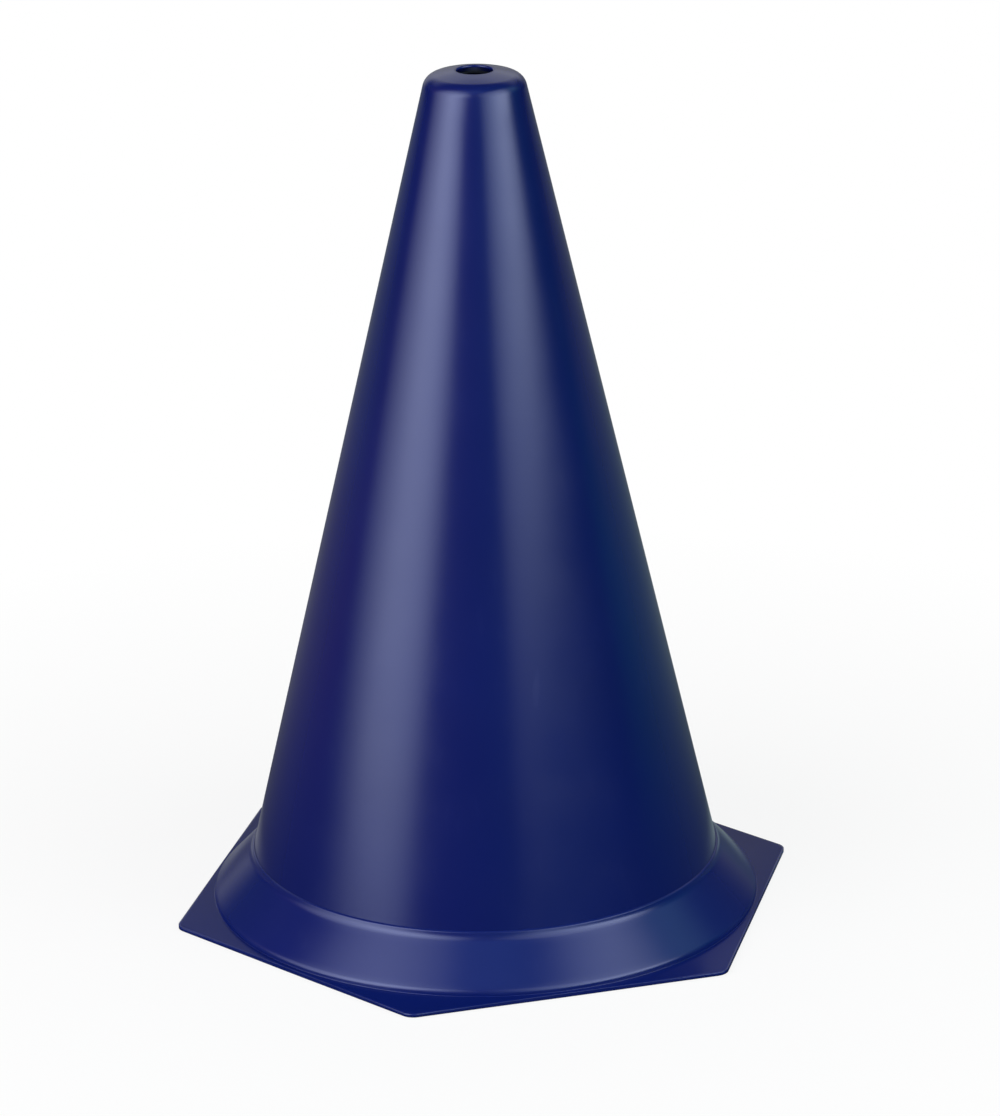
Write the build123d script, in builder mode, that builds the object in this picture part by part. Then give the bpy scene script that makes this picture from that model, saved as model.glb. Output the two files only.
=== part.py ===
from build123d import *
import os
from math import atan2, cos, radians, tan

# Sports marker cone made of two mouldings: a hollow cone body with a turned-out foot flange,
# and a hexagonal base whose flared collar drops over the cone and rests on that flange.
# Millimetres, +Z up, origin on the floor under the middle of the cone.

# Cone body
height = 230.0  # floor to the rim of the pole hole
top_diameter = 25.1  # cone wall carried straight on to the full height
foot_diameter = 132.3  # cone wall carried straight on to the floor
cone_wall = 1.8  # measured square to the surface, the top included
top_fall = 12.0  # degrees that the top slopes down from the pole hole to the shoulder
shoulder_radius = 4.0  # rounding between the top and the cone wall
pole_hole_diameter = 9.5
flange_thickness = 1.4
flange_clearance = 0.6  # flange rim to the inside of the collar
flange_root_radius = 0.8  # fillet between the flange and the cone wall

# Hexagonal base
collar_height = 15.0  # floor to the collar's lip
collar_wall = 1.6  # measured square to the flare
collar_spread = 7.65  # foot of the collar beyond the foot of the cone wall
lip_width = 0.5
lip_drop = 1.8  # from the lip down to where the collar turns out into its flare
flare_turn_radius = 4.0  # hollow rounding of that turn
seat_clearance = 0.2  # cone wall to the seat inside the collar's lip, across the radius
collar_foot_drop = 1.2  # from the foot of the flare down to the plate
collar_foot_radius = 2.2  # rounding at the foot of the flare
plate_thickness = 1.2
plate_margin = 1.25  # flat plate beside the collar, at the middle of a hexagon side
corner_radius = 4.0
gusset_count = 12
gusset_thickness = 1.4
gusset_clearance = 0.4  # cone wall to the gussets, across the radius

# Small roundings
rim_rounding = 0.4  # edges of the pole hole, the foot flange and the foot plate
lip_rounding = 0.3

# Where the cone wall runs
foot_radius = foot_diameter / 2
top_radius = top_diameter / 2
hole_radius = pole_hole_diameter / 2
cone_lean = atan2(foot_radius - top_radius, height)
wall_across = cone_wall / cos(cone_lean)
fall = radians(top_fall)
under_top = height - cone_wall / cos(fall)


def cone_radius(z):
    """Outside of the cone wall at a height."""
    return foot_radius - z * tan(cone_lean)


def shoulder_height(hole_rim, foot):
    """Height where the sloping top, from its rim at the hole, meets a wall with this foot radius."""
    return (hole_rim - (foot - hole_radius) * tan(fall)) / (1 - tan(fall) * tan(cone_lean))


def seat_radius(z):
    """Inside of the collar's lip at a height."""
    return cone_radius(z) + seat_clearance


def gusset_inside(z):
    """Inner edge of a gusset at a height."""
    return cone_radius(z) + gusset_clearance


# Where the collar's flare runs
lip_radius = seat_radius(collar_height) + lip_width
turn_height = collar_height - lip_drop
turn_radius = seat_radius(turn_height) + lip_width
flare_foot = foot_radius + collar_spread
flare_foot_height = plate_thickness + collar_foot_drop
flare_lean = atan2(flare_foot - turn_radius, turn_height - flare_foot_height)
flare_across = collar_wall / cos(flare_lean)
mouth_radius = flare_foot - collar_wall  # upright inside of the collar's foot
apothem = flare_foot + plate_margin
corner_circle = apothem / cos(radians(30))


def flare_inside(z):
    """Inside of the flared collar at a height, between its mouth and its seat."""
    return turn_radius + (turn_height - z) * tan(flare_lean) - flare_across


# Heights where the inside of the flare runs out into the collar's mouth and into the seat on the cone wall
mouth_height = (flare_inside(0) - mouth_radius) / tan(flare_lean)
seat_foot = (flare_inside(0) - seat_radius(0)) / (tan(flare_lean) - tan(cone_lean))
flange_radius = mouth_radius - flange_clearance


def rim(part, radius, z):
    """The circular edge of a part that lies nearest to a radius and a height."""
    circles = part.edges().filter_by(GeomType.CIRCLE)
    return circles.sort_by(lambda edge: abs(edge.radius - radius) + abs(edge.center().Z - z))[0]


# Cone body, turned from one half section
shoulder = shoulder_height(height, foot_radius)
shoulder_inside = shoulder_height(under_top, foot_radius - wall_across)
with BuildPart() as cone_body:
    with BuildSketch(Plane.XZ):
        with BuildLine():
            Polyline(
                (cone_radius(0) - wall_across, 0),
                (flange_radius, 0),
                (flange_radius, flange_thickness),
                (cone_radius(flange_thickness), flange_thickness),
                (cone_radius(shoulder), shoulder),
                (hole_radius, height),
                (hole_radius, under_top),
                (cone_radius(shoulder_inside) - wall_across, shoulder_inside),
                close=True,
            )
        make_face()
    revolve(axis=Axis.Z)
    fillet(rim(cone_body, cone_radius(shoulder), shoulder), shoulder_radius)
    inner_corner = rim(cone_body, cone_radius(shoulder_inside) - wall_across, shoulder_inside)
    fillet(inner_corner, max(shoulder_radius - cone_wall, rim_rounding))
    fillet(rim(cone_body, cone_radius(flange_thickness), flange_thickness), flange_root_radius)
    small_edges = [
        rim(cone_body, hole_radius, height),
        rim(cone_body, hole_radius, under_top),
        rim(cone_body, flange_radius, 0),
        rim(cone_body, flange_radius, flange_thickness),
        rim(cone_body, cone_radius(0) - wall_across, 0),
    ]
    fillet(small_edges, rim_rounding)

# Half section of one gusset: it fills the hollow under the flare, from the collar's wall to the
# seat on the cone, and stands on the foot flange with its corner cut clear of the flange's fillet
with BuildPart() as gusset:
    with BuildSketch(Plane.XZ):
        with BuildLine():
            in_wall = flare_across / 2
            over_relief = flange_thickness + flange_root_radius
            Polyline(
                (gusset_inside(flange_thickness) + flange_root_radius, flange_thickness),
                (mouth_radius + in_wall, flange_thickness),
                (flare_inside(seat_foot) + in_wall, seat_foot),
                (gusset_inside(seat_foot), seat_foot),
                (gusset_inside(over_relief), over_relief),
                close=True,
            )
        make_face()
    extrude(amount=gusset_thickness / 2, both=True)

# Hexagonal base: a foot plate, a flared collar turned on top of it, and gussets inside the flare
with BuildPart() as hex_base:
    with BuildSketch(Plane.XY):
        RegularPolygon(radius=corner_circle, side_count=6)
        fillet(vertices(), corner_radius)
        Circle(mouth_radius, mode=Mode.SUBTRACT)
    extrude(amount=plate_thickness)
    plate_top = hex_base.faces().sort_by(Axis.Z)[-1]
    fillet(plate_top.outer_wire().edges(), rim_rounding)
    with BuildSketch(Plane.XZ):
        with BuildLine():
            Polyline(
                (seat_radius(collar_height), collar_height),
                (lip_radius, collar_height),
                (turn_radius, turn_height),
                (flare_foot, flare_foot_height),
                (flare_foot, 0),
                (mouth_radius, 0),
                (mouth_radius, mouth_height),
                (seat_radius(seat_foot), seat_foot),
                close=True,
            )
        make_face()
    revolve(axis=Axis.Z)
    fillet(rim(hex_base, turn_radius, turn_height), flare_turn_radius)
    fillet(rim(hex_base, lip_radius, collar_height), lip_rounding)
    fillet(rim(hex_base, flare_foot, flare_foot_height), collar_foot_radius)
    with PolarLocations(0, gusset_count):
        add(gusset.part)

os.makedirs("parts", exist_ok=True)

cone_body.part.label = "cone_body"
export_step(cone_body.part, "parts/cone_body.step")

hex_base.part.label = "hex_base"
export_step(hex_base.part, "parts/hex_base.step")
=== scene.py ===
from math import atan2, cos, pi, radians, sin, tan

import bmesh
import bpy
from mathutils import Matrix, Vector


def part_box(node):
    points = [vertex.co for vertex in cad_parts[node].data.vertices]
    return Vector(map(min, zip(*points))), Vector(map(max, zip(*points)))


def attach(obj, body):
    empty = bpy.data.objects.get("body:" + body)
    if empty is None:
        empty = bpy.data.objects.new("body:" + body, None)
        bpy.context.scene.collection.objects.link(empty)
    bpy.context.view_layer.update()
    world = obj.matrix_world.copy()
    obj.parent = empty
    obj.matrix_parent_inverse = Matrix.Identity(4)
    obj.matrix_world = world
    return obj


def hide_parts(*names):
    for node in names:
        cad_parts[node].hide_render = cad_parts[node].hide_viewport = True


# Sports marker cone in navy moulded plastic: a hollow cone body, and a hexagonal base whose flared
# collar stands round the foot of the cone. Metres, +Z up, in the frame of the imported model.

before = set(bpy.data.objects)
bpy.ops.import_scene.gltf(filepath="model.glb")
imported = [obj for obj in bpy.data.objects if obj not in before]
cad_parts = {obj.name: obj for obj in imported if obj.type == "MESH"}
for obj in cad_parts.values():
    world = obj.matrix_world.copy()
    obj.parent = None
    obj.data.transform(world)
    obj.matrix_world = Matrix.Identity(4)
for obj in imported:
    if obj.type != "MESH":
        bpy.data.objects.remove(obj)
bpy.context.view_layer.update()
MM = 0.001

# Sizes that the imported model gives
flange_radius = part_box("cone_body")[1].x
collar_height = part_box("hex_base")[1].z
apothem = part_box("hex_base")[1].y  # middle of the base to the middle of a hexagon side

# Cone body
height = 230.0 * MM  # floor to the rim of the pole hole
top_radius = 12.55 * MM  # cone wall carried straight on to the full height
foot_radius = 66.15 * MM  # cone wall carried straight on to the floor
cone_wall = 1.8 * MM
top_fall = radians(12.0)  # slope of the top, down from the pole hole to the shoulder
shoulder_rounding = 4.0 * MM
hole_radius = 4.75 * MM
hole_edge = 0.7 * MM  # thickness left at the rim of the hole, which is thinned from below
hole_thinning = 1.5 * MM  # how far round the hole the top is thinned
flange_thickness = 1.4 * MM
flange_root = 0.8 * MM  # fillet between the flange and the cone wall

# Hexagonal base
collar_wall = 1.6 * MM
lip_width = 0.5 * MM
lip_fall = 0.35 * MM  # from the cone wall down to the outer edge of the lip
lip_drop = 1.8 * MM  # from the lip down to where the collar turns out into its flare
flare_turn = 4.0 * MM  # hollow rounding of that turn
seat_clearance = 0.03 * MM  # cone wall to the seat inside the collar's lip
foot_drop = 1.2 * MM  # from the foot of the flare down to the plate
foot_rounding = 2.2 * MM  # at the foot of the flare
plate_thickness = 1.2 * MM
plate_margin = 1.25 * MM  # flat plate beside the collar, at the middle of a hexagon side
corner_rounding = 4.0 * MM
gusset_count = 12
gusset_thickness = 1.4 * MM
gusset_clearance = 0.4 * MM  # cone wall to the gussets

# Small roundings
rim_rounding = 0.4 * MM
lip_rounding = 0.3 * MM
tucked_rounding = 0.15 * MM  # edges that the mould's parting leaves nearly sharp
seat_rounding = 0.04 * MM  # edge of the lip against the cone wall
merge_distance = 0.001 * MM  # points that lie closer than this become one

# Where the walls run
cone_lean = atan2(foot_radius - top_radius, height)
wall_across = cone_wall / cos(cone_lean)
under_top = height - cone_wall / cos(top_fall)
flare_foot = apothem - plate_margin


def cone_radius(z):
    """Outside of the cone wall at a height."""
    return foot_radius - z * tan(cone_lean)


def shoulder_height(hole_rim, foot):
    """Height where the sloping top, from its rim at the hole, meets a wall with this foot radius."""
    return (hole_rim - (foot - hole_radius) * tan(top_fall)) / (1 - tan(top_fall) * tan(cone_lean))


lip_radius = cone_radius(collar_height) + seat_clearance + lip_width
turn_height = collar_height - lip_drop
turn_radius = cone_radius(turn_height) + seat_clearance + lip_width
flare_foot_height = plate_thickness + foot_drop
flare_lean = atan2(flare_foot - turn_radius, turn_height - flare_foot_height)
flare_across = collar_wall / cos(flare_lean)
mouth_radius = flare_foot - collar_wall  # upright inside of the collar's foot


def flare_inside(z):
    """Inside of the flared collar at a height, between its mouth and its seat."""
    return turn_radius + (turn_height - z) * tan(flare_lean) - flare_across


mouth_height = (flare_inside(0) - mouth_radius) / tan(flare_lean)
seat_gap = flare_inside(0) - cone_radius(0) - seat_clearance
seat_foot = seat_gap / (tan(flare_lean) - tan(cone_lean))


# Small helpers for node trees

def node(tree, kind, inputs=None, **options):
    """Adds a node, sets its options, then links or fills the inputs that are named."""
    made = tree.nodes.new(kind)
    for option, value in options.items():
        setattr(made, option, value)
    for socket, value in (inputs or {}).items():
        if isinstance(value, bpy.types.NodeSocket):
            tree.links.new(value, made.inputs[socket])
        else:
            made.inputs[socket].default_value = value
    return made


def maths(tree, operation, *values):
    """One Math node on sockets or numbers."""
    return node(tree, "ShaderNodeMath", dict(enumerate(values)), operation=operation).outputs[0]


def product(tree, first, *others):
    """Multiplies sockets or numbers, one after another."""
    for other in others:
        first = maths(tree, "MULTIPLY", first, other)
    return first


def spread(tree, value, low, high, to_low=0.0, to_high=1.0):
    """Maps a value from one range to another, and holds it inside the new range."""
    ends = {"Value": value, "From Min": low, "From Max": high, "To Min": to_low, "To Max": to_high}
    return node(tree, "ShaderNodeMapRange", ends).outputs["Result"]


def split(tree, vector):
    """The X, Y and Z of a vector."""
    return node(tree, "ShaderNodeSeparateXYZ", {"Vector": vector}).outputs


def vectors(tree, operation, *values):
    """One Vector Math node on sockets or vectors, with a Vector or, for a length, a Value as its output."""
    return node(tree, "ShaderNodeVectorMath", dict(enumerate(values)), operation=operation).outputs


# Geometry trees

SOCKETS = {int: "NodeSocketInt", float: "NodeSocketFloat", bpy.types.Material: "NodeSocketMaterial"}


def geometry_tree(name, inputs):
    """Starts a geometry tree with a Geometry input, the named inputs and a Geometry output."""
    tree = bpy.data.node_groups.new(name, "GeometryNodeTree")
    tree.interface.new_socket("Geometry", in_out="INPUT", socket_type="NodeSocketGeometry")
    for label, value in inputs.items():
        kind = next(SOCKETS[plain] for plain in SOCKETS if isinstance(value, plain))
        tree.interface.new_socket(label, in_out="INPUT", socket_type=kind)
    tree.interface.new_socket("Geometry", in_out="OUTPUT", socket_type="NodeSocketGeometry")
    return tree, tree.nodes.new("NodeGroupInput").outputs


def run_tree(tree, source, inputs):
    """Runs a geometry tree on a mesh and returns what it makes as a plain mesh."""
    holder = bpy.data.objects.new(tree.name, source)
    bpy.context.scene.collection.objects.link(holder)
    modifier = holder.modifiers.new(tree.name, "NODES")
    modifier.node_group = tree
    for socket in tree.interface.items_tree:
        if socket.in_out == "INPUT" and socket.name in inputs:
            modifier[socket.identifier] = inputs[socket.name]
    depsgraph = bpy.context.evaluated_depsgraph_get()
    made = bpy.data.meshes.new_from_object(holder.evaluated_get(depsgraph), depsgraph=depsgraph)
    bpy.data.objects.remove(holder)
    bpy.data.meshes.remove(source)
    return made


def rounded(tree, curve, radius, steps):
    """Rounds the corners of a curve."""
    inputs = {"Curve": curve, "Radius": radius, "Count": steps, "Limit Radius": True}
    return node(tree, "GeometryNodeFilletCurve", inputs, mode="POLY").outputs["Curve"]


def broken_up(tree, curve, step):
    """Adds points along a curve's long stretches, so that none is further than a step from the next."""
    here = node(tree, "GeometryNodeInputPosition").outputs["Position"]
    after = node(tree, "GeometryNodeOffsetPointInCurve", {"Offset": 1}).outputs["Point Index"]
    inputs = {"Index": after, "Value": here}
    there = node(tree, "GeometryNodeFieldAtIndex", inputs, data_type="FLOAT_VECTOR").outputs[0]
    gap = vectors(tree, "DISTANCE", here, there)["Value"]
    cuts = maths(tree, "FLOOR", maths(tree, "DIVIDE", gap, step))
    return node(tree, "GeometryNodeSubdivideCurve", {"Curve": curve, "Cuts": cuts}).outputs["Curve"]


def stored(tree, geometry, label, value, kind):
    """Stores a value at each point, under a name."""
    inputs = {"Geometry": geometry, "Name": label, "Value": value}
    options = {"data_type": kind, "domain": "POINT"}
    return node(tree, "GeometryNodeStoreNamedAttribute", inputs, **options).outputs["Geometry"]


def read_back(tree, label, kind):
    """Reads a value that was stored under a name."""
    return node(tree, "GeometryNodeInputNamedAttribute", {"Name": label}, data_type=kind).outputs[0]


def keep_places(tree, curve, label):
    """Stores where a curve's points lie, so that the swept mesh can read it."""
    here = node(tree, "GeometryNodeInputPosition").outputs["Position"]
    return stored(tree, curve, label, here, "FLOAT_VECTOR")


def moulding_tree(name, inputs):
    """A tree that carries a half section round an outline with rounded corners.

    Up to the radius "Round to" every ring is a circle. Beyond it the rings are drawn out towards the
    outline, whose sides stand "Side radius" from the axis. How sharply the surface turns at each point
    is kept as "edge_turn", for the wear along the edges.
    """
    tree, given = geometry_tree(name, inputs)
    corners = node(tree, "GeometryNodeMeshToCurve", {"Mesh": given["Geometry"]}).outputs["Curve"]
    section = rounded(tree, corners, read_back(tree, "rounding", "FLOAT"), given["Rounding steps"])
    section = keep_places(tree, broken_up(tree, section, given["Section step"]), "section")

    half_turn = maths(tree, "DIVIDE", pi, given["Corners"])
    corner_radius = maths(tree, "DIVIDE", given["Side radius"], maths(tree, "COSINE", half_turn))
    ring = {"Resolution": given["Corners"], "Radius": corner_radius}
    outline = node(tree, "GeometryNodeCurvePrimitiveCircle", ring).outputs["Curve"]
    outline = rounded(tree, outline, given["Corner rounding"], given["Corner steps"])
    outline = keep_places(tree, broken_up(tree, outline, given["Outline step"]), "outline")

    curves = {"Curve": outline, "Profile Curve": section}
    swept = node(tree, "GeometryNodeCurveToMesh", curves).outputs["Mesh"]
    section_place = split(tree, read_back(tree, "section", "FLOAT_VECTOR"))
    outline_place = read_back(tree, "outline", "FLOAT_VECTOR")
    reach = vectors(tree, "LENGTH", outline_place)["Value"]
    further = maths(tree, "SUBTRACT", reach, given["Side radius"])
    drawn = spread(tree, section_place["X"], given["Round to"], given["Side radius"])
    radius = maths(tree, "MULTIPLY_ADD", drawn, further, section_place["X"])
    around = {0: vectors(tree, "NORMALIZE", outline_place)["Vector"], "Scale": radius}
    flat = node(tree, "ShaderNodeVectorMath", around, operation="SCALE").outputs["Vector"]
    lift = node(tree, "ShaderNodeCombineXYZ", {"Z": section_place["Z"]}).outputs["Vector"]
    moved = {"Geometry": swept, "Position": vectors(tree, "ADD", flat, lift)["Vector"]}
    shell = node(tree, "GeometryNodeSetPosition", moved).outputs["Geometry"]
    for label in ("section", "outline", "rounding"):
        shell = node(tree, "GeometryNodeRemoveAttribute", {"Geometry": shell, "Name": label}).outputs[0]
    turn = node(tree, "GeometryNodeInputMeshEdgeAngle").outputs["Signed Angle"]
    finish_tree(tree, stored(tree, shell, "edge_turn", turn, "FLOAT"), given["Plastic"])
    return tree


def ring_tree(name, inputs):
    """A tree that sets copies of a piece evenly round the axis."""
    tree, given = geometry_tree(name, inputs)
    points = node(tree, "GeometryNodePoints", {"Count": given["Count"]}).outputs[0]
    step = maths(tree, "DIVIDE", 2 * pi, given["Count"])
    turn = product(tree, node(tree, "GeometryNodeInputIndex").outputs[0], step)
    angles = node(tree, "ShaderNodeCombineXYZ", {"Z": turn}).outputs[0]
    turned = node(tree, "FunctionNodeEulerToRotation", {"Euler": angles}).outputs[0]
    copies = {"Points": points, "Instance": given["Geometry"], "Rotation": turned}
    finish_tree(tree, node(tree, "GeometryNodeInstanceOnPoints", copies).outputs[0], given["Plastic"])
    return tree


def finish_tree(tree, geometry, plastic):
    """Ends a tree: real geometry, smooth shading and the piece's material."""
    real = node(tree, "GeometryNodeRealizeInstances", {"Geometry": geometry}).outputs[0]
    smooth = node(tree, "GeometryNodeSetShadeSmooth", {"Geometry": real}).outputs[0]
    dressed = node(tree, "GeometryNodeSetMaterial", {"Geometry": smooth, "Material": plastic}).outputs[0]
    node(tree, "NodeGroupOutput", {"Geometry": dressed})


# Meshes that the trees start from

def section_mesh(corners):
    """A closed half section in the XZ plane, from corners given as (radius, height, rounding)."""
    mesh = bpy.data.meshes.new("section")
    count = len(corners)
    edges = [(i, (i + 1) % count) for i in range(count)]
    mesh.from_pydata([(radius, 0, z) for radius, z, _ in corners], edges, [])
    rounding = mesh.attributes.new("rounding", "FLOAT", "POINT")
    rounding.data.foreach_set("value", [size for _, _, size in corners])
    return mesh


def plate_mesh(corners, thickness):
    """A flat plate across the XZ plane, from corners given as (radius, height)."""
    shape = bmesh.new()
    near = [shape.verts.new((radius, -thickness / 2, z)) for radius, z in corners]
    far = [shape.verts.new((radius, thickness / 2, z)) for radius, z in corners]
    shape.faces.new(near)
    shape.faces.new(reversed(far))
    for i in range(len(corners)):
        shape.faces.new((near[i], near[i - 1], far[i - 1], far[i]))
    mesh = bpy.data.meshes.new("plate")
    shape.to_mesh(mesh)
    shape.free()
    return mesh


def piece(name, meshes, body, node_name):
    """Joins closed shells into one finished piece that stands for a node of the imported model."""
    shape = bmesh.new()
    for mesh in meshes:
        shape.from_mesh(mesh)
    bmesh.ops.remove_doubles(shape, verts=shape.verts, dist=merge_distance)
    bmesh.ops.recalc_face_normals(shape, faces=shape.faces)
    mesh = bpy.data.meshes.new(name)
    shape.to_mesh(mesh)
    shape.free()
    mesh.materials.append(meshes[0].materials[0])
    made = bpy.data.objects.new(name, mesh)
    bpy.context.scene.collection.objects.link(made)
    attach(made, body)
    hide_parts(node_name)


# Finishes

cone_navy = (0.0031, 0.0088, 0.1030)
cone_navy_deep = (0.0027, 0.0078, 0.0930)
# The base's navy is the cone's navy painted lighter: painted light that makes the flared collar look
# brighter
base_navy = (0.0036, 0.0110, 0.1180)
base_navy_deep = (0.0032, 0.0100, 0.1080)
navy_rubbed = (0.0160, 0.0260, 0.1500)
blue_sheen = (0.62, 0.70, 1.0)
plastic_ior = 1.6

# Sizes of the patterns, in noise cells to a metre
cloud_scale = 24.0
smear_scale = 70.0
rub_scale = 420.0
rub_upward = 0.06  # share of that scale up the cone, because stacking draws the rubs out
turning_scale = 900.0
grain_scale = 1600.0

# Where a pattern starts to show, and where it shows in full
noise_range = (0.3, 0.7)  # where nearly all of a noise lies
rub_range = (0.56, 0.72)
rub_patches = (0.45, 0.65)
worn_patches = (0.35, 0.65)
worn_edges = (0.03, 0.08)  # how sharply the surface turns, in radians
level_faces = (0.985, 0.995)  # how far the surface looks up, where 1 is straight up

# How strongly the patterns show
worn_share = 0.2
rub_share = 0.07
smear_roughness = (0.185, 0.215)
marred_roughness = 0.3  # on top of that
grain_strength = 0.12
turning_strength = 0.05
relief_depth = 0.05 * MM
plain_specular = 0.5
level_specular = 0.04


def empty_material(name):
    """A material with an empty node tree."""
    material = bpy.data.materials.new(name)
    material.use_nodes = True
    material.node_tree.nodes.clear()
    return material, material.node_tree


def noise(tree, place, scale, detail):
    """Noise over the places that it is given."""
    inputs = {"Vector": place, "Scale": scale, "Detail": detail}
    return node(tree, "ShaderNodeTexNoise", inputs).outputs["Fac"]


def mixed_colour(tree, share, colour, other):
    """One colour or socket, with a share of another."""
    inputs = {"Factor": share, "A": colour, "B": other}
    return node(tree, "ShaderNodeMix", inputs, data_type="RGBA").outputs["Result"]


def moulded_plastic(name, navy, navy_deep):
    """Semi-gloss navy plastic with a fine moulded grain, rubs from stacking and lightly worn edges.

    Faces that look straight up are more matt than the rest.
    """
    material, tree = empty_material(name)
    coordinates = node(tree, "ShaderNodeTexCoord").outputs
    place = coordinates["Object"]
    clouds = noise(tree, place, cloud_scale, detail=3.0)
    smears = noise(tree, place, smear_scale, detail=4.0)
    grain = noise(tree, place, grain_scale, detail=2.0)
    lines = {"W": split(tree, place)["Z"], "Scale": turning_scale, "Detail": 2.0}
    turning = node(tree, "ShaderNodeTexNoise", lines, noise_dimensions="1D").outputs["Fac"]

    drawn_out = vectors(tree, "MULTIPLY", place, (1, 1, rub_upward))["Vector"]
    streaks = noise(tree, drawn_out, rub_scale, detail=3.0)
    rubs = product(tree, spread(tree, streaks, *rub_range), spread(tree, smears, *rub_patches))
    edge = node(tree, "ShaderNodeAttribute", attribute_name="edge_turn").outputs["Fac"]
    worn = product(tree, spread(tree, edge, *worn_edges), spread(tree, smears, *worn_patches))
    marred = maths(tree, "MAXIMUM", product(tree, worn, worn_share), product(tree, rubs, rub_share))

    body = mixed_colour(tree, spread(tree, clouds, *noise_range), (*navy_deep, 1), (*navy, 1))
    smooth = spread(tree, smears, *noise_range, *smear_roughness)
    fine = {"Height": grain, "Strength": grain_strength, "Distance": relief_depth}
    marks = {"Height": turning, "Strength": turning_strength, "Distance": relief_depth}
    marks["Normal"] = node(tree, "ShaderNodeBump", fine).outputs["Normal"]
    upward = split(tree, coordinates["Normal"])["Z"]
    surface = {
        "Base Color": mixed_colour(tree, marred, body, (*navy_rubbed, 1)),
        "Roughness": maths(tree, "MULTIPLY_ADD", marred, marred_roughness, smooth),
        "Specular IOR Level": spread(tree, upward, *level_faces, plain_specular, level_specular),
        "IOR": plastic_ior,
        "Specular Tint": (*blue_sheen, 1),
        "Normal": node(tree, "ShaderNodeBump", marks).outputs["Normal"],
    }
    shader = node(tree, "ShaderNodeBsdfPrincipled", surface)
    node(tree, "ShaderNodeOutputMaterial", {"Surface": shader.outputs[0]})
    return material


# Cone body: one turned shell, open below, with the pole hole in its top

def cone_shell(plastic):
    shoulder = shoulder_height(height, foot_radius)
    shoulder_inside = shoulder_height(under_top, foot_radius - wall_across)
    section = section_mesh([
        (foot_radius - wall_across, 0, rim_rounding),
        (flange_radius, 0, rim_rounding),
        (flange_radius, flange_thickness, rim_rounding),
        (cone_radius(flange_thickness), flange_thickness, flange_root),
        (cone_radius(shoulder), shoulder, shoulder_rounding),
        (hole_radius, height, rim_rounding),
        (hole_radius, height - hole_edge, tucked_rounding),
        (hole_radius + hole_thinning, under_top - hole_thinning * tan(top_fall), rim_rounding),
        (cone_radius(shoulder_inside) - wall_across, shoulder_inside, shoulder_rounding - cone_wall),
    ])
    inputs = {
        "Corners": 6,
        "Side radius": foot_radius,
        "Corner rounding": foot_radius,
        "Corner steps": 48,
        "Outline step": foot_radius,
        "Round to": flange_radius,
        "Rounding steps": 8,
        "Section step": 6.0 * MM,
        "Plastic": plastic,
    }
    shell = run_tree(moulding_tree("turned_cone", inputs), section, inputs)
    piece("cone_shell", [shell], "cone", "cone_body")


# Hexagonal base: a foot plate drawn out from the flared collar, and gussets inside the flare

def hexagon_base(plastic):
    section = section_mesh([
        (cone_radius(collar_height) + seat_clearance, collar_height, seat_rounding),
        (lip_radius, collar_height - lip_fall, lip_rounding),
        (turn_radius, turn_height, flare_turn),
        (flare_foot, flare_foot_height, foot_rounding),
        (flare_foot, plate_thickness, tucked_rounding),
        (apothem, plate_thickness, tucked_rounding),
        (apothem, 0, tucked_rounding),
        (mouth_radius, 0, tucked_rounding),
        (mouth_radius, mouth_height, tucked_rounding),
        (cone_radius(seat_foot) + seat_clearance, seat_foot, tucked_rounding),
    ])
    inputs = {
        "Corners": 6,
        "Side radius": apothem,
        "Corner rounding": corner_rounding,
        "Corner steps": 12,
        "Outline step": 2.0 * MM,
        "Round to": flare_foot + tucked_rounding,
        "Rounding steps": 6,
        "Section step": 1.5 * MM,
        "Plastic": plastic,
    }
    shell = run_tree(moulding_tree("hexagon_moulding", inputs), section, inputs)

    in_wall = flare_across / 2
    relief = flange_thickness + flange_root
    gusset = plate_mesh([
        (cone_radius(flange_thickness) + gusset_clearance + flange_root, flange_thickness),
        (mouth_radius + in_wall, flange_thickness),
        (flare_inside(seat_foot) + in_wall, seat_foot),
        (cone_radius(seat_foot) + gusset_clearance, seat_foot),
        (cone_radius(relief) + gusset_clearance, relief),
    ], gusset_thickness)
    copies = {"Count": gusset_count, "Plastic": plastic}
    gussets = run_tree(ring_tree("gusset_ring", copies), gusset, copies)
    piece("hexagon_base", [shell, gussets], "base", "hex_base")


# Camera, at the photograph's angle

camera_bearing = radians(-106.55)  # from +X round to the camera
camera_away = 1.3443  # across the floor, from the axis
camera_height = 0.5764
aim_right = 5.0 * MM  # of the axis, as the camera sees it
aim_height = 95.8 * MM
camera_roll = radians(-0.725)
focal_pixels = 5351.0
image_width = 1000.0
sensor_width = 36.0  # millimetres, as Blender gives it

to_camera = Vector((cos(camera_bearing), sin(camera_bearing), 0))
to_right = Vector((-sin(camera_bearing), cos(camera_bearing), 0))


def stand_camera():
    place = to_camera * camera_away + Vector((0, 0, camera_height))
    aim = to_right * aim_right + Vector((0, 0, aim_height))
    forward = (aim - place).normalized()
    level = forward.cross(Vector((0, 0, 1))).normalized()
    upright = level.cross(forward)
    right = level * cos(camera_roll) + upright * sin(camera_roll)
    up = upright * cos(camera_roll) - level * sin(camera_roll)
    turn = Matrix((right, up, -forward)).transposed()
    data = bpy.data.cameras.new("camera")
    data.sensor_fit = "HORIZONTAL"
    data.sensor_width = sensor_width
    data.lens = focal_pixels / image_width * sensor_width
    camera = bpy.data.objects.new("camera", data)
    camera.matrix_world = Matrix.Translation(place) @ turn.to_4x4()
    bpy.context.scene.collection.objects.link(camera)
    bpy.context.scene.camera = camera


# Studio: two tall softboxes in front, two dim panels, a white room behind, a pale floor

softbox_away = 1.5
WHITE = (1, 1, 1)

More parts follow.
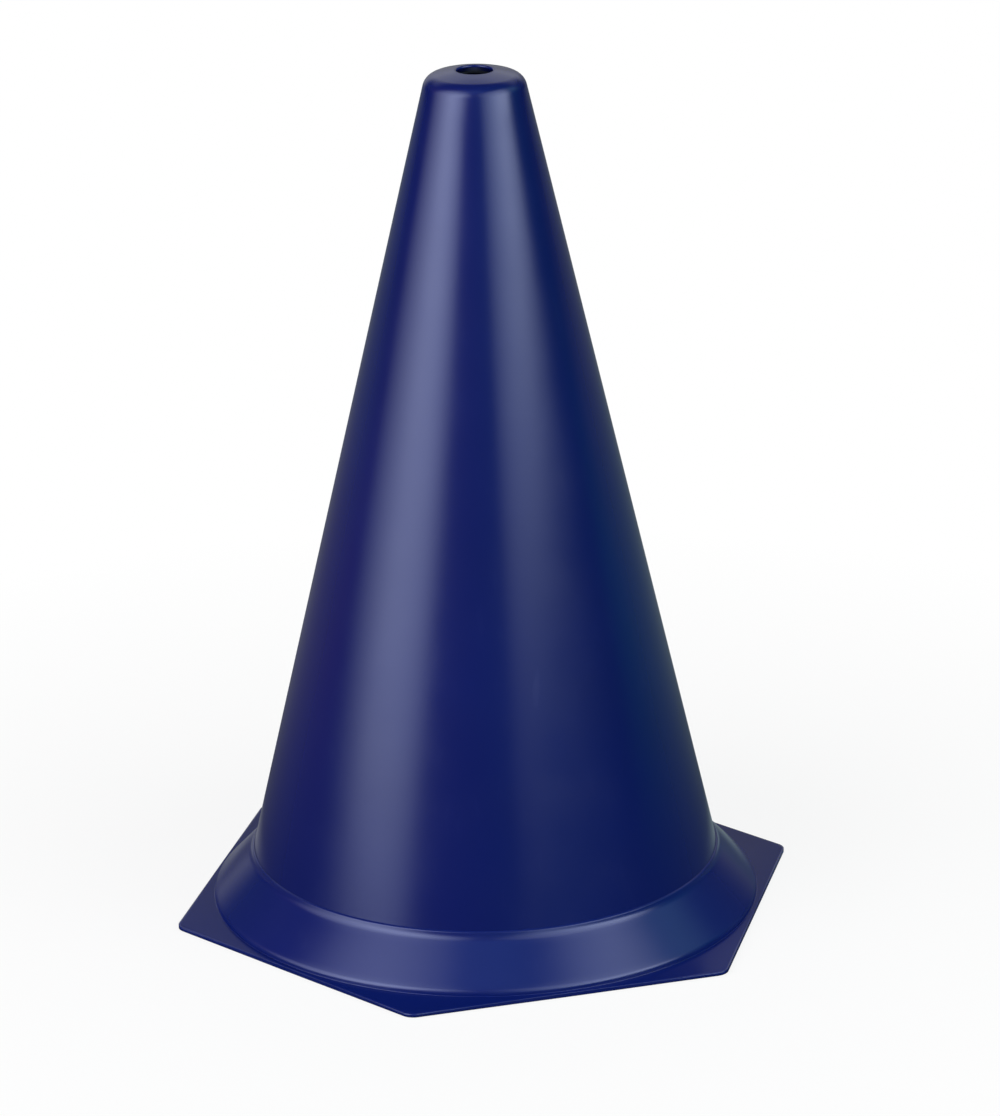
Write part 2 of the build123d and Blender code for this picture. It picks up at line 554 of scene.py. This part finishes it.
# Tint of the room and the floor in reflections
warm_side = (0.75, 0.36, 0.65)
plain_middle = (0.56, 0.64, 0.65)
cool_side = (0.15, 0.85, 0.60)
tint_reach = 0.6  # to either side, where the tint is full
tint_fade = 0.72  # behind, where only the plain middle is left

# Room in reflections: how far up or back, for a direction of length 1, a change starts and ends
band_level = 0.6
band_foot = (0.42, 0.6)
band_head = (0.66, 0.8)
band_back = (0.3, 0.75)
wall_run = (-0.4, 0.3)  # to the right
wall_levels = (0.5, 0.2)
wall_rise = (0.15, 0.33)
wall_high_level = 0.75
wall_back = (0.75, 0.92)
front_foot = (0.04, 0.2)
front_levels = (0.07, 0.29)
front_head = (0.3, 0.6)
front_head_share = 0.5
front_back = (0.0, 0.6)
front_back_share = 0.35

# Floor
floor_radius = 4.0
floor_sides = 96
floor_drop = 0.2 * MM  # keeps it clear of the faces that the part stands on
floor_pale = 0.85
floor_bounce = 0.10  # how pale it is for the light that it throws back
white_run = (0.1, 0.3)  # from the axis
white_near = 0.86  # share of the glow close to the cone, where the shadow shows through it
# Painted glow that reflections see on the floor: dim in front, paler behind, lightest in a strip behind the
# base
mirror_run = (-0.1, 0.25)  # back from the axis
mirror_levels = (0.03, 0.27)
strip_run = (0.09, 0.11)  # from the axis
strip_back = (0.0, 0.04)  # back from the axis
strip_level = 0.35


def softbox(name, turn, rise, lean, width, tall, low, high, fades, colour=WHITE):
    """A soft light with faded edges, turned round the axis from the camera and raised from the floor.

    Angles are in degrees. Its radiance runs from low at its lower edge to high at its upper edge. The
    fades are shares of its width and height, at its left, right, lower and upper edge.
    """
    data = bpy.data.lights.new(name, "AREA")
    data.shape = "RECTANGLE"
    data.size = width
    data.size_y = tall
    data.energy = pi * width * tall
    data.use_nodes = True
    tree = data.node_tree
    tree.nodes.clear()
    across = split(tree, node(tree, "ShaderNodeNewGeometry").outputs["Parametric"])
    strength = spread(tree, across["Y"], 0, 1, low, high)
    edges = (("X", 0), ("X", 1), ("Y", 0), ("Y", 1))
    for (side, edge), fade in zip(edges, fades):
        strength = product(tree, strength, spread(tree, across[side], edge, abs(edge - fade)))
    glow = node(tree, "ShaderNodeEmission", {"Color": (*colour, 1), "Strength": strength})
    node(tree, "ShaderNodeOutputLight", {"Surface": glow.outputs[0]})
    lamp = bpy.data.objects.new(name, data)
    bearing = camera_bearing + radians(turn)
    level = Vector((cos(bearing), sin(bearing), 0)) * cos(radians(rise))
    lamp.location = (level + Vector((0, 0, sin(radians(rise))))) * softbox_away
    aim = Vector((0, 0, height / 2)) - lamp.location
    facing = aim.to_track_quat("-Z", "Y").to_matrix() @ Matrix.Rotation(radians(lean), 3, "Z")
    lamp.rotation_euler = facing.to_euler()
    bpy.context.scene.collection.objects.link(lamp)


def sideways(tree, place):
    """How far a place or a direction lies to the right, as the camera stands."""
    return vectors(tree, "DOT_PRODUCT", place, to_right)["Value"]


def backward(tree, place):
    """How far a place or a direction lies back from the axis, away from where the camera stands."""
    return vectors(tree, "DOT_PRODUCT", place, -to_camera)["Value"]


def room_tint(tree, place):
    """Tint in reflections: warm at the left, cool at the right, plain between them and behind."""
    ahead = spread(tree, backward(tree, place), 0, tint_fade, 1, 0)
    share = spread(tree, product(tree, sideways(tree, place), ahead), -tint_reach, tint_reach)
    tint = node(tree, "ShaderNodeValToRGB", {"Fac": share})
    stops = tint.color_ramp.elements
    stops.new(0.5)
    for stop, colour in zip(stops, (warm_side, plain_middle, cool_side)):
        stop.color = (*colour, 1)
    return tint.outputs["Color"]


def white_room():
    """White where the camera looks. For reflections and fill it is pale behind and dim in front."""
    world = bpy.data.worlds.new("room")
    bpy.context.scene.world = world
    world.use_nodes = True
    tree = world.node_tree
    tree.nodes.clear()
    direction = node(tree, "ShaderNodeTexCoord").outputs["Generated"]
    behind = backward(tree, direction)
    rise = split(tree, direction)["Z"]

    # A pale band high up behind, and the wall below it, which is paler to the left and higher up
    band = product(
        tree,
        spread(tree, rise, *band_foot, 0, band_level),
        spread(tree, rise, *band_head, 1, 0),
        spread(tree, behind, *band_back),
    )
    level = spread(tree, sideways(tree, direction), *wall_run, *wall_levels)
    level = spread(tree, rise, *wall_rise, level, wall_high_level)
    wall = product(tree, level, spread(tree, behind, *wall_back))
    back = maths(tree, "ADD", band, wall)

    # The front of the room, darkest at the floor
    front = product(
        tree,
        spread(tree, rise, *front_foot, *front_levels),
        spread(tree, rise, *front_head, 1, front_head_share),
        spread(tree, behind, *front_back, 1, front_back_share),
    )
    dim = node(tree, "ShaderNodeBackground", {"Color": room_tint(tree, direction), "Strength": front})
    pale = node(tree, "ShaderNodeBackground", {"Color": (*WHITE, 1), "Strength": back})
    fill = node(tree, "ShaderNodeAddShader", {0: dim.outputs[0], 1: pale.outputs[0]})
    white = node(tree, "ShaderNodeBackground", {"Color": (*WHITE, 1)})
    seen = node(tree, "ShaderNodeLightPath").outputs["Is Camera Ray"]
    shown = node(tree, "ShaderNodeMixShader", {0: seen, 1: fill.outputs[0], 2: white.outputs[0]})
    node(tree, "ShaderNodeOutputWorld", {"Surface": shown.outputs[0]})


def floor_finish():
    """Pale and matt, with a soft shadow near the cone, running out into the white room.

    Reflections show it as a painted glow, dim in front and paler behind, with a painted light strip close
    behind the base.
    """
    material, tree = empty_material("pale_floor")
    place = node(tree, "ShaderNodeTexCoord").outputs["Object"]
    away = vectors(tree, "LENGTH", place)["Value"]
    behind = backward(tree, place)
    paths = node(tree, "ShaderNodeLightPath").outputs

    # Only the floor outside the cone glows, so that the hollow of the cone stays dark
    outside = maths(tree, "GREATER_THAN", away, foot_radius)
    white = product(tree, paths["Is Camera Ray"], outside, spread(tree, away, *white_run, white_near, 1))
    loss = floor_bounce - floor_pale
    pale = maths(tree, "MULTIPLY_ADD", paths["Is Diffuse Ray"], loss, floor_pale)
    matt = node(tree, "ShaderNodeBsdfDiffuse", {"Color": pale})
    glow = node(tree, "ShaderNodeEmission", {"Color": (*WHITE, 1)})
    seen = node(tree, "ShaderNodeMixShader", {0: white, 1: matt.outputs[0], 2: glow.outputs[0]})

    # Painted reflection: for reflections the floor glows, dimly in front, paler behind, and lightest in a
    # strip close behind the base
    strip = product(
        tree,
        spread(tree, away, *strip_run, strip_level, 0),
        spread(tree, behind, *strip_back),
    )
    mirrored = maths(tree, "ADD", spread(tree, behind, *mirror_run, *mirror_levels), strip)
    dim = node(tree, "ShaderNodeEmission", {"Color": room_tint(tree, place), "Strength": mirrored})
    inputs = {0: paths["Is Glossy Ray"], 1: seen.outputs[0], 2: dim.outputs[0]}
    shown = node(tree, "ShaderNodeMixShader", inputs)
    node(tree, "ShaderNodeOutputMaterial", {"Surface": shown.outputs[0]})
    return material


def pale_floor():
    """A round floor, just under the part."""
    shape = bmesh.new()
    bmesh.ops.create_circle(shape, cap_ends=True, segments=floor_sides, radius=floor_radius)
    mesh = bpy.data.meshes.new("floor")
    shape.to_mesh(mesh)
    shape.free()
    mesh.materials.append(floor_finish())
    made = bpy.data.objects.new("floor", mesh)
    made.location.z = -floor_drop
    bpy.context.scene.collection.objects.link(made)


cone_shell(moulded_plastic("cone_plastic", cone_navy, cone_navy_deep))
# The base's plastic uses the navy painted lighter, as painted light on the collar
hexagon_base(moulded_plastic("base_plastic", base_navy, base_navy_deep))
stand_camera()
softbox(
    "left_softbox", turn=-59, rise=28, lean=47, width=2.9, tall=1.95, low=8.6, high=0.0,
    fades=(0.5, 0.35, 0.37, 0.15),
)
softbox(
    "right_softbox", turn=47.5, rise=35, lean=6.5, width=2.2, tall=1.45, low=5.8, high=1.0,
    fades=(0.54, 0.26, 0.14, 0.15),
)
softbox(
    "top_panel", turn=0, rise=63, lean=0, width=1.1, tall=0.9, low=0.6, high=0.6,
    fades=(0.4, 0.4, 0.4, 0.4), colour=(0.4, 0.6, 1.0),
)
softbox(
    "right_panel", turn=100, rise=36, lean=0, width=0.8, tall=0.9, low=0.7, high=0.7,
    fades=(0.4, 0.4, 0.4, 0.4), colour=(0.5, 0.85, 0.8),
)
white_room()
pale_floor()
bpy.context.scene.view_settings.view_transform = "Standard"
